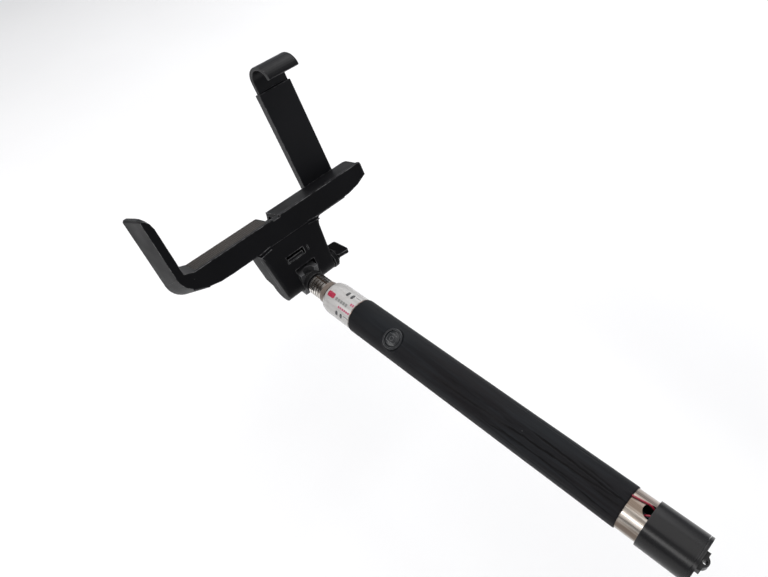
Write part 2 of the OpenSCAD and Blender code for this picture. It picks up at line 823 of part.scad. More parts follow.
// Clevis slot, pivot bore, the nut's pocket and the flat seat that the knob turns against
module clevis_cuts() {
    cross_rod(nut_x - 1.8, seat_x + cut, bolt_r + slip);
    cross_rod(seat_x, seat_x + 6, hub_r + 0.5);
    block([-slot_half, neck_front - cut, neck_low - cut], [slot_half, neck_back + cut, slot_top]);
    translate([nut_x - 0.1, 0, 0]) rotate([0, 90, 0])
        cylinder(h = nut_t + 0.2, r = nut_r + 0.1, $fn = 6);
}

// Thin steps where the neck's front runs into the bar
module neck_ridges() {
    for (side = [-1, 1]) for (v = [28.6, 30.6])
        slab(bar_front - 0.25, bar_front + 1) polygon([
            [side * 21.4, v - 0.5], [side * 21.6, v], [side * 14, v + 0.9], [side * 13.4, v + 0.6]]);
}

module cradle_front() {
    hollow_v = 13;
    hollow_half = 15;
    wall = 2;
    window_depth = 2.5;
    slit_x = window_x1 + 2.5;
    color([0.13, 0.13, 0.14]) in_holder() difference() {
        union() {
            hull() {
                slab(bar_front, bar_front + 0.1) bar_outline(1.5);
                slab(bar_front + 0.5, bar_front + 0.6) bar_outline(0.5);
                slab(bar_front + 1.5, bar_front + 2.6) bar_outline();
            }
            left_arm();
            translate([0, 0, shelf_low]) linear_extrude(shelf_t) shelf_outline();
            neck_part(neck_front - cut, split_w);
            neck_fillets(neck_front + 0.6, split_w);
            neck_ridges();
        }
        // Hollow behind the front wall of the neck, wider at its top
        block([-hollow_half, neck_front + wall, hollow_v], [hollow_half, split_w + cut, shelf_low]);
        block([-hollow_half - 3, neck_front + wall, hollow_v + 11],
              [hollow_half + 3, split_w + cut, shelf_low]);
        clevis_cuts();
        // Snap window, and the slit beside it
        block([window_x0, neck_front - cut, window_v0],
              [window_x1, neck_front + window_depth, window_v1]);
        block([slit_x, neck_front - cut, window_v0 + 0.3],
              [slit_x + 0.5, neck_front + window_depth, window_v1 - 0.7]);
        ledge_notch(bar_front + 6.3);
        // Dip in the front wall before the notch
        block([notch_x - 2.4, bar_front - cut, ledge_v - 1], [notch_x + 2.4, bar_front + 3, ledge_v + cut]);
        // Recess for the ledge pad
        block([pad_x0 - 0.1, pad_w0 - 0.1, shelf_top - pad_sunk],
              [pad_x1 + 0.1, pad_w1 + 0.1, ledge_v + cut]);
    }
}

module ledge_pad() {
    color([0.3, 0.27, 0.25]) in_holder() difference() {
        block([pad_x0, pad_w0, shelf_top - pad_sunk], [pad_x1, pad_w1, pad_top]);
        for (i = [1:5])
            block([pad_x0 - cut, pad_w0 + rib_pitch * i - 0.2, pad_top - 0.15],
                  [pad_x1 + cut, pad_w0 + rib_pitch * i + 0.2, ledge_v + cut]);
    }
}

function back_face(spot) = spot[1] < bar_bottom ? neck_back : ledge_back;

// Strip along the holder's lower edge, with its right end closed
module cover_strip() {
    xs = [for (x = low_xs) if (x > cover_x0 && x < cover_x1) x];
    polygon(concat(
        [[cover_x1, shelf_low - 0.05], [cover_x1, low_edge(cover_x1)]],
        [for (x = xs) [x, low_edge(x)]],
        [[cover_x0, low_edge(cover_x0)], [cover_x0, low_edge(cover_x0) + cover_t]],
        [for (i = [len(xs) - 1:-1:1]) [xs[i], low_edge(xs[i]) + cover_t]],
        [[cover_x1 - cover_t, low_edge(cover_x1) + cover_t / 2],
         [cover_x1 - cover_t, shelf_low - 0.05]]));
}

module cover_wall() {
    polygon(concat(
        [[cover_x0, shelf_low - 0.05], [cover_x1, shelf_low - 0.05], [cover_x1, low_edge(cover_x1)]],
        [for (x = low_xs) if (x > cover_x0 && x < cover_x1) [x, low_edge(x)]],
        [[cover_x0, low_edge(cover_x0)]]));
}

module cradle_back() {
    guide_x0 = slide_x - slide_w / 2 - gap;
    guide_x1 = slide_x + slide_w / 2 + gap;
    guide_back = slide_back + gap;
    tab_front = neck_front + 0.3;
    spring_room = 0.9;
    hollow_half = 11;
    screw_head_hole = 2.1;
    screw_hole = 1.05;
    color([0.12, 0.12, 0.13]) in_holder() difference() {
        union() {
            slab(cover_w0, ledge_back) cover_strip();
            slab(ledge_back - cover_t, ledge_back) cover_wall();
            neck_part(split_w + slip, neck_back + cut);
            neck_fillets(split_w + slip, neck_back - 0.4);
            block([guide_x0 - guide_t, ledge_back - eps, guide_bottom],
                  [guide_x1 + guide_t, guide_back + guide_t, guide_top]);
            // Snap tab that shows in the front shell's window
            block([window_x0 + 0.6, tab_front, window_v0 + 0.3],
                  [window_x1 - 1.2, split_w + 2, window_v1 - 1.8]);
        }
        // Way through the guide for the sliding arm, and its spring's pocket
        block([guide_x0, ledge_back + 0.1, guide_bottom - cut], [guide_x1, guide_back, guide_top + cut]);
        block([slide_x - pocket_half, guide_back - cut, guide_bottom + 2],
              [slide_x + pocket_half, guide_back + spring_room, guide_top - 1.6]);
        ledge_notch(ledge_back - 3);
        // Room for the front shell's neck
        block([-fillet_x, bar_front, bar_bottom - cut], [fillet_x, split_w + slip, bar_bottom + 3]);
        clevis_cuts();
        // Closed hollow between the screws
        block([-hollow_half, split_w + 2, slot_top + 3], [hollow_half, neck_back - 2, neck_top - 3]);
        for (spot = screw_spots)
            translate([spot[0], back_face(spot) + cut, spot[1]]) rotate([90, 0, 0]) {
                cylinder(h = cut + 1.3, r = screw_head_hole);
                cylinder(h = cut + 4, r = screw_hole);
            }
    }
}

module cover_screws() {
    screw_head_r = 1.95;
    shank_r = 1;
    slot_w = 0.44;
    color([0.45, 0.45, 0.47]) in_holder() for (spot = screw_spots)
        translate([spot[0], back_face(spot) - 0.3, spot[1]]) rotate([90, 0, 0]) difference() {
            union() {
                cylinder(h = 0.95, r = screw_head_r);
                cylinder(h = 3.4, r = shank_r);
            }
            for (a = [0, 90])
                rotate([0, 0, a]) block([-1.1, -slot_w / 2, -cut], [1.1, slot_w / 2, 0.5]);
        }
}

// Bowed leaf spring, thin = sheet thickness, seen from the side
module bow(length, height, thin) {
    n = 8;
    function lift(i) = height * sin(180 * i / n);
    polygon(concat(
        [for (i = [0:n]) [-lift(i), length * i / n]],
        [for (i = [n:-1:0]) [-lift(i) + thin, length * i / n]]));
}

module arm_spring() {
    sheet = 0.25;
    color([0.65, 0.65, 0.67]) in_holder()
        translate([0, slide_back + gap + 0.85 - sheet, guide_bottom + 2.5])
        prism(slide_x - spring_half, slide_x + spring_half) bow(9, 0.75, sheet);
}

// ---- Sliding arm and hooked jaw -----------------------------------------------------

module slide_arm() {
    half = slide_w / 2;
    slot_x = stem_w / 2 + 0.15;
    color([0.14, 0.14, 0.15]) in_holder() difference() {
        block([slide_x - half, slide_front, slide_foot], [slide_x + half, slide_back, slide_top]);
        block([slide_x - slot_x, slide_front + slide_wall, slide_foot + 3],
              [slide_x + slot_x, slide_back - slide_wall, slide_top + cut]);
    }
}

// Stem that slides in the arm, and a hook that curls forward over the phone's edge
module upper_jaw() {
    stem_front = stem_back - stem_t;
    lip_w = -3.6;
    lip_t = 2.6;
    wall = 2;
    ry = 7.9;
    base = jaw_top - ry;
    outer_rx = (stem_back - lip_w) / 2;
    inner_rx = (stem_front - lip_w - lip_t) / 2;
    x0 = slide_x - stem_w / 2;
    x1 = slide_x + stem_w / 2;
    channel_half = 7.3;
    seat_v = 4;
    color([0.16, 0.16, 0.17]) in_holder() difference() {
        union() {
            prism(x0, x1) polygon(concat(
                [[stem_back, base - 6]],
                arc(stem_back - outer_rx, base, outer_rx, ry, 0, 180, 20),
                [[lip_w + 0.7, base - 0.5], [lip_w + lip_t - 0.4, base - 0.4]],
                arc(stem_front - inner_rx, base, inner_rx, ry - wall, 180, 0, 20),
                [[stem_front, base - 6]]));
            block([x0, stem_front, stem_foot], [x1, stem_back, base - 5]);
        }
        // Shallow channel down the stem's front
        block([slide_x - channel_half, stem_front - cut, stem_foot - cut],
              [slide_x + channel_half, stem_front + 0.4, slide_top + 0.7]);
        // Seat of the jaw's brake spring
        block([slide_x - pocket_half, stem_back - 1, stem_foot + seat_v],
              [slide_x + pocket_half, stem_back + cut, stem_foot + seat_v + 10]);
    }
}

module jaw_spring() {
    color([0.65, 0.65, 0.67]) in_holder() translate([0, stem_back - 0.95, stem_foot + 4.5])
        prism(slide_x - spring_half, slide_x + spring_half)
            mirror([1, 0]) translate([-0.2, 0]) bow(9, 0.8, 0.2);
}

handle_tube();
grip_sleeve();
wrap_label();
neck_bush();
button_bezel();
shutter_button();
dome_switch();
button_board();
signal_wires();
end_cap();
end_plug();
module_carrier();
battery_cell();
main_board();
usb_socket();
switch_body();
switch_knob();
status_led();
section(2);  // section_2
section(3);  // section_3
section(4);  // section_4
section(5);  // section_5
section(6);  // section_6
section(7);  // section_7
tip_ring(2);  // tip_ring_2
tip_ring(3);  // tip_ring_3
tip_ring(4);  // tip_ring_4
tip_ring(5);  // tip_ring_5
tip_ring(6);  // tip_ring_6
friction_bush(2);  // friction_bush_2
friction_bush(3);  // friction_bush_3
friction_bush(4);  // friction_bush_4
friction_bush(5);  // friction_bush_5
friction_bush(6);  // friction_bush_6
friction_bush(7);  // friction_bush_7
tip_plug();
lock_collar();
tongue();
tongue_screw();
pivot_bolt();
thumb_knob();
clevis_nut();
tilt_washers();
cradle_front();
cradle_back();
ledge_pad();
cover_screws();
arm_spring();
slide_arm();
upper_jaw();
jaw_spring();
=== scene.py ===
import json
import math
import random

import bmesh
import bpy
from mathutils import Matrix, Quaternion, Vector, noise


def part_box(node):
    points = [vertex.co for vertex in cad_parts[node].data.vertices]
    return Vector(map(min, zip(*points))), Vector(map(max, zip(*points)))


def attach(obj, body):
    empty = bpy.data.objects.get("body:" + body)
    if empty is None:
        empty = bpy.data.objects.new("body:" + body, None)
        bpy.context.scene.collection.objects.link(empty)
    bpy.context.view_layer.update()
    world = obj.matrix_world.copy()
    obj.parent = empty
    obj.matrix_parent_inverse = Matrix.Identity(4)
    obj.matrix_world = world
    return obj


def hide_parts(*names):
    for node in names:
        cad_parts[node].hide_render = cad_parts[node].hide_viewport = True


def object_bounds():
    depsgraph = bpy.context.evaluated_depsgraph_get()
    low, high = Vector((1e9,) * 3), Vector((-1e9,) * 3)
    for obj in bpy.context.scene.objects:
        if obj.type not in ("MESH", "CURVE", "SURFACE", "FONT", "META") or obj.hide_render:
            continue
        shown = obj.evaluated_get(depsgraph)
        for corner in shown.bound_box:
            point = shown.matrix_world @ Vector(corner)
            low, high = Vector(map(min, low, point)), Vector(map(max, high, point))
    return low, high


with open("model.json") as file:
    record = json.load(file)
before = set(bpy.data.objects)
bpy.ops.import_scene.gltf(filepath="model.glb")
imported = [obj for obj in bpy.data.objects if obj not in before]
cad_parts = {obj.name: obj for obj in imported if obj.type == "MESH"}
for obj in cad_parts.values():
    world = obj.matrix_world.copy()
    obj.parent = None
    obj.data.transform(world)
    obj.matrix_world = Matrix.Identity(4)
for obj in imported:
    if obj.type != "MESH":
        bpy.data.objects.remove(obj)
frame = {"nodes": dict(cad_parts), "record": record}
cad_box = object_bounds()

MM = 0.001
UP = Vector((0, 0, 1))


def frame_mm(node):
    """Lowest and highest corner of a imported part, in millimetres."""
    low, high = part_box(node)
    return Vector(low) / MM, Vector(high) / MM


# ---- Camera, light and floor -------------------------------------------------------

CAMERA_PLACE = Vector((-0.12547, -0.10741, 0.25819))
CAMERA_AZIMUTH = 37.42     # degrees from +Y towards +X
CAMERA_DOWN = 46.65        # degrees below level
CAMERA_ROLL = 9.8          # degrees
CAMERA_LENS = 28.74        # mm, on the sensor below
SENSOR_WIDTH = 36          # mm


def add_camera():
    azimuth = math.radians(CAMERA_AZIMUTH)
    down = math.radians(CAMERA_DOWN)
    forward = Vector((math.sin(azimuth) * math.cos(down),
                      math.cos(azimuth) * math.cos(down), -math.sin(down)))
    data = bpy.data.cameras.new("camera")
    data.lens = CAMERA_LENS
    data.sensor_width = SENSOR_WIDTH
    data.clip_start = 0.01
    camera = bpy.data.objects.new("camera", data)
    bpy.context.collection.objects.link(camera)
    camera.rotation_mode = "QUATERNION"
    roll = Quaternion(UP, -math.radians(CAMERA_ROLL))
    camera.rotation_quaternion = forward.to_track_quat("-Z", "Y") @ roll
    camera.location = CAMERA_PLACE
    bpy.context.scene.camera = camera


def add_light(name, offset, size, power, color):
    """A softbox at an offset from the middle of the object, turned towards it."""
    data = bpy.data.lights.new(name, "AREA")
    data.shape = "RECTANGLE"
    data.size, data.size_y = size
    data.energy = power
    data.color = color
    light = bpy.data.objects.new(name, data)
    bpy.context.collection.objects.link(light)
    light.location = (cad_box[0] + cad_box[1]) / 2 + Vector(offset)
    light.rotation_mode = "QUATERNION"
    light.rotation_quaternion = (-Vector(offset)).to_track_quat("-Z", "Y")


SKY = ((0.0, (0.34, 0.35, 0.37)), (0.3, (0.46, 0.47, 0.49)), (0.8, (0.46, 0.46, 0.47)))
SKY_STRENGTH = 1.0


def add_studio():
    """A plain pale room with a wide softbox on the right, a narrow one on the left, and a fill."""
    world = bpy.data.worlds.new("studio")
    world.use_nodes = True
    tree = world.node_tree
    place = tree.nodes.new("ShaderNodeTexCoord")
    split = tree.nodes.new("ShaderNodeSeparateXYZ")
    ramp = tree.nodes.new("ShaderNodeValToRGB")
    fill_ramp(ramp, SKY)
    background = tree.nodes["Background"]
    background.inputs["Strength"].default_value = SKY_STRENGTH
    tree.links.new(place.outputs["Generated"], split.inputs[0])
    tree.links.new(split.outputs["Z"], ramp.inputs[0])
    tree.links.new(ramp.outputs[0], background.inputs["Color"])
    bpy.context.scene.world = world
    bpy.context.scene.view_settings.view_transform = "Standard"
    add_light("right", (0.85, 0.35, 0.75), (1.0, 1.0), 6.5, (0.99, 0.99, 1))
    add_light("left", (-0.85, 0.2, 0.5), (1.1, 0.24), 4.2, (1, 0.99, 0.98))
    add_light("top", (0.0, 0.1, 1.3), (1.4, 1.4), 7.5, (1, 0.99, 0.98))


FLOOR_HALF = 3.0
FLOOR_DROP = 0.112         # room under the stick for the phone holder when it is turned over


def add_floor():
    """A sheet of pale paper, far enough below for every pose."""
    z = cad_box[0][2] - FLOOR_DROP
    corners = [(-1, -1), (1, -1), (1, 1), (-1, 1)]
    mesh = bpy.data.meshes.new("floor")
    mesh.from_pydata([(x * FLOOR_HALF, y * FLOOR_HALF, z) for x, y in corners],
                     [], [(0, 1, 2, 3)])
    floor = bpy.data.objects.new("floor", mesh)
    bpy.context.collection.objects.link(floor)
    look = Look("floor_paper", roughness=0.9, Specular_IOR_Level=0.1)
    shade = look.ramp(look.noise(6, detail=3), ((0.3, (0.93, 0.93, 0.93)), (0.7, (0.95, 0.95, 0.95))))
    look.set("Base Color", shade)
    mesh.materials.append(look.material)


# ---- Materials ---------------------------------------------------------------------

def fill_ramp(node, stops):
    """Gives a color ramp its stops, each as (position, color)."""
    elements = node.color_ramp.elements
    while len(elements) < len(stops):
        elements.new(0.5)
    for element, (position, color) in zip(elements, stops):
        element.position = position
        element.color = (*color, 1)


class Look:
    """One procedural material, with short calls for the nodes that these looks need."""

    def __init__(self, name, color=None, roughness=0.5, metallic=0.0, **constants):
        self.material = bpy.data.materials.new(name)
        self.material.use_nodes = True
        self.tree = self.material.node_tree
        self.shader = self.tree.nodes["Principled BSDF"]
        self.set("Roughness", roughness)
        self.set("Metallic", metallic)
        if color:
            self.set("Base Color", (*color, 1))
            self.material.diffuse_color = (*color, 1)
        for socket, value in constants.items():
            self.set(socket.replace("_", " "), value)
        self.place = self.node("ShaderNodeTexCoord").outputs["Object"]

    def node(self, kind, links=None, **settings):
        made = self.tree.nodes.new(kind)
        for key, value in settings.items():
            setattr(made, key, value)
        for key, value in (links or {}).items():
            self.feed(made.inputs[key], value)
        return made

    def feed(self, socket, value):
        """Links a socket to another, or gives it a constant."""
        if isinstance(value, bpy.types.NodeSocket):
            self.tree.links.new(value, socket)
        else:
            socket.default_value = value

    def set(self, socket, value):
        self.feed(self.shader.inputs[socket], value)

    def stretched(self, x, y, z):
        """The place, scaled by axis, so that a pattern is drawn out along an axis."""
        return self.node("ShaderNodeMapping", {"Vector": self.place, "Scale": (x, y, z)}).outputs[0]

    def noise(self, scale, detail=2.0, rough=0.5, at=None):
        links = {"Vector": at or self.place, "Scale": scale, "Detail": detail, "Roughness": rough}
        return self.node("ShaderNodeTexNoise", links).outputs[0]

    def ramp(self, value, stops):
        made = self.node("ShaderNodeValToRGB", {0: value})
        fill_ramp(made, stops)
        return made.outputs[0]

    def span(self, value, low, high, to_low, to_high):
        """Maps low..high to to_low..to_high, and holds it there."""
        links = {0: value, 1: low, 2: high, 3: to_low, 4: to_high}
        return self.node("ShaderNodeMapRange", links, clamp=True).outputs[0]

    def math(self, operation, a, b=0.0):
        return self.node("ShaderNodeMath", {0: a, 1: b}, operation=operation).outputs[0]

    def mix(self, factor, a, b, blend="MIX"):
        made = self.node("ShaderNodeMix", data_type="RGBA", blend_type=blend)
        self.feed(made.inputs[0], factor)
        for socket, value in ((made.inputs[6], a), (made.inputs[7], b)):
            self.feed(socket, value if isinstance(value, bpy.types.NodeSocket) else (*value, 1))
        return made.outputs[2]

    def edges(self, reach_mm=0.45):
        """1 on outer edges, 0 elsewhere: where another face lies close behind the surface."""
        behind = self.node("ShaderNodeAmbientOcclusion", {"Distance": reach_mm * MM}, inside=True,
                           only_local=True, samples=8)
        return self.span(behind.outputs["AO"], 0.7, 0.95, 1, 0)

    def specks(self, scale, radius, share):
        """Small dust specks: one in some of the cells of a random pattern."""
        cells = self.node("ShaderNodeTexVoronoi", {"Vector": self.place, "Scale": scale})
        near = self.span(cells.outputs["Distance"], radius * 0.6, radius, 1, 0)
        picked = self.math("GREATER_THAN", cells.outputs["Color"], 1 - share)
        return self.math("MULTIPLY", near, picked)

    def bump(self, height, depth_mm, strength=1.0, under=None):
        links = {"Height": height, "Distance": depth_mm * MM, "Strength": strength}
        if under:
            links["Normal"] = under
        return self.node("ShaderNodeBump", links).outputs[0]


def plastic(name, color, rough=(0.4, 0.55), grain=2600, grain_mm=0.012, wear_and_edge_highlight=0.5, shine=0.3):
    """Moulded plastic: slow colour drift, fine grain, dust, and edges painted lighter, partly as rubbed
    wear and partly as a painted highlight.
    """
    look = Look(name, color=color, Specular_IOR_Level=shine)
    darker = [c * 0.8 for c in color]
    lighter = [c * 1.25 for c in color]
    # Lighter colour for outer edges: rubbed wear, and also a painted highlight where the edges would catch
    # the light.
    rubbed_and_highlit = [min(1, c * 2.5 + 0.17) for c in color]
    dusty = [min(1, c + 0.12) for c in color]
    base = look.ramp(look.noise(28, detail=3), ((0.3, darker), (0.7, lighter)))
    scuffs = look.span(look.noise(240, detail=4, rough=0.7), 0.42, 0.62, 0.1, 1)
    # Edge mask broken up by scuffs: where the edges get the rubbed look and the painted highlight.
    worn_and_highlit = look.math("MULTIPLY", look.edges(), look.math("MULTIPLY", scuffs, wear_and_edge_highlight))
    base = look.mix(worn_and_highlit, base, rubbed_and_highlit)
    dust = look.math("MULTIPLY", look.specks(900, 0.2, 0.05), 0.5 * min(1, wear_and_edge_highlight * 2))
    look.set("Base Color", look.mix(dust, base, dusty))
    look.set("Roughness", look.span(look.noise(60, detail=4), 0.3, 0.7, *rough))
    look.set("Normal", look.bump(look.noise(grain, detail=2), grain_mm))
    return look.material


def steel_look():
    """Rolled steel tube: warm bands along its length painted as reflections, fine lines, and a dull film.
    """
    look = Look("steel", color=(0.55, 0.52, 0.49), metallic=1.0)
    along = look.noise(700, detail=3, at=look.stretched(1, 0.03, 1))
    # Painted reflections: dark and light brownish bands drawn out along the tube, in place of surroundings
    # mirrored in it.
    painted_reflection_bands = look.ramp(look.noise(150, detail=3, rough=0.6, at=look.stretched(1, 0.06, 1)),
                      ((0.38, (0.16, 0.125, 0.1)), (0.46, (0.36, 0.32, 0.28)),
                       (0.54, (0.54, 0.5, 0.46)), (0.64, (0.72, 0.69, 0.65))))
    blush = look.span(look.noise(45, detail=2, at=look.stretched(1, 0.3, 1)), 0.5, 0.7, 0, 0.4)
    tone = look.mix(blush, painted_reflection_bands, (0.62, 0.42, 0.38))
    stains = look.span(look.noise(210, detail=5, rough=0.7), 0.58, 0.75, 0, 0.5)
    look.set("Base Color", look.mix(stains, tone, (0.26, 0.22, 0.18)))
    look.set("Roughness", look.span(along, 0.3, 0.7, 0.2, 0.38))
    look.set("Normal", look.bump(along, 0.01, 0.6))
    return look.material


DARK_GROOVE_DEPTH = 0.14         # mm under the ring's outside where it is fully dark
BRIGHT_DEPTH = 0.03        # mm under it where the metal has its full tone


def ring_look(outer_mm):
    """Bright tip rings, dark brown in the grooves between them."""
    look = Look("tip_rings", color=(0.6, 0.57, 0.53), metallic=1.0)
    split = look.node("ShaderNodeSeparateXYZ", {0: look.place})
    across = look.node("ShaderNodeCombineXYZ", {0: split.outputs["X"], 1: split.outputs["Z"]})
    radius = look.node("ShaderNodeVectorMath", {0: across.outputs[0]}, operation="LENGTH").outputs["Value"]
    bright = look.span(radius, (outer_mm - DARK_GROOVE_DEPTH) * MM, (outer_mm - BRIGHT_DEPTH) * MM, 0, 1)
    tone = look.ramp(look.noise(160, detail=2, at=look.stretched(1, 0.5, 1)),
                     ((0.35, (0.42, 0.38, 0.34)), (0.6, (0.78, 0.75, 0.71))))
    # Dark brown below the rings' outside, in the grooves, full metal tone on the outside.
    look.set("Base Color", look.mix(bright, (0.06, 0.045, 0.035), tone))
    look.set("Roughness", look.span(bright, 0, 1, 0.5, 0.2))
    look.set("Normal", look.bump(look.noise(1800, detail=2), 0.005))
    return look.material


def plain_metal(name, color, rough=(0.25, 0.4)):
    """Turned metal, with fine lines along it and a slow change of tone."""
    look = Look(name, color=color, metallic=1.0)
    turned = look.noise(1500, detail=2, at=look.stretched(1, 0.2, 1))
    darker = [c * 0.85 for c in color]
    look.set("Base Color", look.ramp(look.noise(200), ((0.3, darker), (0.7, color))))
    look.set("Roughness", look.span(turned, 0.3, 0.7, *rough))
    look.set("Normal", look.bump(turned, 0.006))
    return look.material


CREASE_LAYER = "crease"    # how deep the grip's creases are at each point, 0 to 1


def grip_look():
    """Foam rubber: bluish black, with fine streaks along it, a little dust, and painted shade in its
    creases.
    """
    look = Look("grip_rubber", color=(0.0075, 0.0085, 0.01), Specular_IOR_Level=0.1)
    streaks = look.noise(520, detail=4, rough=0.6, at=look.stretched(1, 0.05, 1))
    drift = look.noise(35, detail=3, at=look.stretched(1, 0.4, 1))
    base = look.mix(look.span(drift, 0.35, 0.65, 0, 1), (0.0058, 0.0046, 0.0056), (0.0078, 0.009, 0.0108))
    base = look.mix(look.span(streaks, 0.45, 0.68, 0, 0.6), base, (0.0165, 0.0185, 0.0215))
    crease = look.node("ShaderNodeAttribute", attribute_name=CREASE_LAYER).outputs["Fac"]
    # Painted shade: the creases are darkened nearly to black, the deeper ones more.
    base = look.mix(look.span(crease, 0.02, 0.35, 0, 1), base, (0.0006, 0.0004, 0.0006))
    dust = look.math("MULTIPLY", look.specks(260, 0.05, 0.09), 0.6)
    look.set("Base Color", look.mix(dust, base, (0.2, 0.2, 0.2)))
    look.set("Roughness", look.span(streaks, 0.3, 0.7, 0.44, 0.62))
    skin = look.bump(look.noise(3200, detail=2), 0.012)
    look.set("Normal", look.bump(streaks, 0.08, 1.0, under=skin))
    return look.material


def label_look():
    """Clear glossy film over a pale print, greyer where it has been handled."""
    look = Look("label_film", color=(0.5, 0.49, 0.475), roughness=0.25, Coat_Weight=0.3,
                Specular_IOR_Level=0.4)
    along = look.noise(160, detail=3, at=look.stretched(1, 0.1, 1))
    base = look.ramp(along, ((0.3, (0.34, 0.33, 0.315)), (0.6, (0.5, 0.49, 0.48))))
    smears = look.span(look.noise(240, detail=4, rough=0.7), 0.5, 0.75, 0, 0.35)
    look.set("Base Color", look.mix(smears, base, (0.33, 0.28, 0.255)))
    look.set("Roughness", look.span(along, 0.3, 0.7, 0.18, 0.34))
    look.set("Normal", look.bump(look.noise(300, detail=3), 0.02))
    return look.material


def ink(name, color):
    """Worn print: patchy colour, and thinner where it has been rubbed."""
    look = Look(name, color=color, roughness=0.35)
    darker = [c * 0.8 for c in color]
    patchy = look.ramp(look.noise(900, detail=3), ((0.3, darker), (0.7, color)))
    rubbed_and_highlit = look.span(look.noise(1700, detail=3), 0.55, 0.7, 0, 0.45)
    look.set("Base Color", look.mix(rubbed_and_highlit, patchy, (0.4, 0.38, 0.36)))
    look.set("Roughness", look.span(look.noise(500), 0.3, 0.7, 0.28, 0.42))
    return look.material


def pad_look():
    """Brownish rubber, dusty between its ribs."""
    look = Look("pad_rubber", color=(0.045, 0.039, 0.034), Specular_IOR_Level=0.3)
    drift = look.noise(60, detail=4)
    base = look.ramp(drift, ((0.3, (0.03, 0.026, 0.023)), (0.7, (0.055, 0.047, 0.041))))
    dust = look.span(look.noise(420, detail=5, rough=0.7), 0.55, 0.8, 0, 0.5)
    look.set("Base Color", look.mix(dust, base, (0.11, 0.1, 0.09)))
    look.set("Roughness", look.span(drift, 0.3, 0.7, 0.55, 0.75))
    look.set("Normal", look.bump(look.noise(2400, detail=2), 0.03))
    return look.material


# One look for each material slot of the record
LOOKS = {
    "grip_rubber": grip_look(),
    "steel_tube": steel_look(),
    "label_film": label_look(),
    "neck_plastic": plastic("neck_plastic", (0.15, 0.12, 0.1), rough=(0.2, 0.34), shine=0.5),
    "gloss_black": plastic("gloss_black", (0.0045, 0.0042, 0.0048), rough=(0.22, 0.3), grain_mm=0.002,
                           shine=0.3, wear_and_edge_highlight=0.15),
    "satin_black": plastic("satin_black", (0.006, 0.006, 0.0065), rough=(0.35, 0.5), grain_mm=0.006),
    "holder_plastic": plastic("holder_plastic", (0.0045, 0.0045, 0.0053), rough=(0.38, 0.52), wear_and_edge_highlight=0.9,
                              shine=0.09),
    "arm_plastic": plastic("arm_plastic", (0.0045, 0.0045, 0.0056), rough=(0.34, 0.46), wear_and_edge_highlight=0.7,
                           shine=0.2),
    "tongue_plastic": plastic("tongue_plastic", (0.05, 0.05, 0.052), rough=(0.4, 0.5), shine=0.5),
    "pad_rubber": pad_look(),
    "washer_rubber": plastic("washer_rubber", (0.012, 0.012, 0.012), rough=(0.6, 0.8)),
    "bolt_steel": plain_metal("bolt_steel", (0.55, 0.55, 0.56)),
    "nut_brass": plain_metal("nut_brass", (0.72, 0.58, 0.32)),
    "plug_aluminium": plain_metal("plug_aluminium", (0.66, 0.66, 0.67)),
    "bush_plastic": plastic("bush_plastic", (0.7, 0.69, 0.64), rough=(0.4, 0.55), wear_and_edge_highlight=0, shine=0.5),
    "board_green": plastic("board_green", (0.006, 0.03, 0.015), rough=(0.25, 0.4), grain=900, wear_and_edge_highlight=0.3),
    "wire_red": plastic("wire_red", (0.24, 0.008, 0.026), rough=(0.2, 0.35), grain_mm=0.005, wear_and_edge_highlight=0,
                        shine=0.5),
    "cell_wrap": plastic("cell_wrap", (0.012, 0.018, 0.05), rough=(0.2, 0.3), grain_mm=0.01, wear_and_edge_highlight=0),
    "led_lens": plastic("led_lens", (0.2, 0.35, 0.8), rough=(0.1, 0.2), grain_mm=0.002, wear_and_edge_highlight=0),
}
RING_LOOK = ring_look(frame_mm("tip_ring_3")[1].x)
BUTTON_LOOK = plastic("button_rubber", (0.009, 0.01, 0.012), rough=(0.24, 0.36), shine=0.4, wear_and_edge_highlight=0.4)
RED_INK = ink("red_ink", (0.42, 0.014, 0.055))
PINK_INK = ink("pink_ink", (0.5, 0.08, 0.16))
GREY_INK = ink("grey_ink", (0.23, 0.23, 0.225))
DARK_INK = ink("dark_ink", (0.03, 0.03, 0.033))


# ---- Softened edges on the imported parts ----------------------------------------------

WELD_MM = 0.002
SHARP_ANGLE = 38           # degrees; edges that turn less stay as they are


def soften(node, width_mm):
    """Rounds a part's sharp edges a little, as moulding and polishing leave them."""
    solid = frame["nodes"][node]
    weld = solid.modifiers.new("weld", "WELD")
    weld.merge_threshold = WELD_MM * MM
    bevel = solid.modifiers.new("rounded_edges", "BEVEL")
    bevel.limit_method = "ANGLE"
    bevel.angle_limit = math.radians(SHARP_ANGLE)
    bevel.width = width_mm * MM
    bevel.segments = 2
    bevel.use_clamp_overlap = True
    normals = solid.modifiers.new("even_shading", "WEIGHTED_NORMAL")
    normals.keep_sharp = True


# Width of the rounding, in mm
SOFT_EDGES = {
    "cradle_front": 0.3, "cradle_back": 0.2, "slide_arm": 0.3, "upper_jaw": 0.3, "tongue": 0.2,
    "thumb_knob": 0.3, "ledge_pad": 0.1, "end_cap": 0.3, "end_plug": 0.25, "lock_collar": 0.2,
}


# ---- Rubber grip -----------------------------------------------------------------------

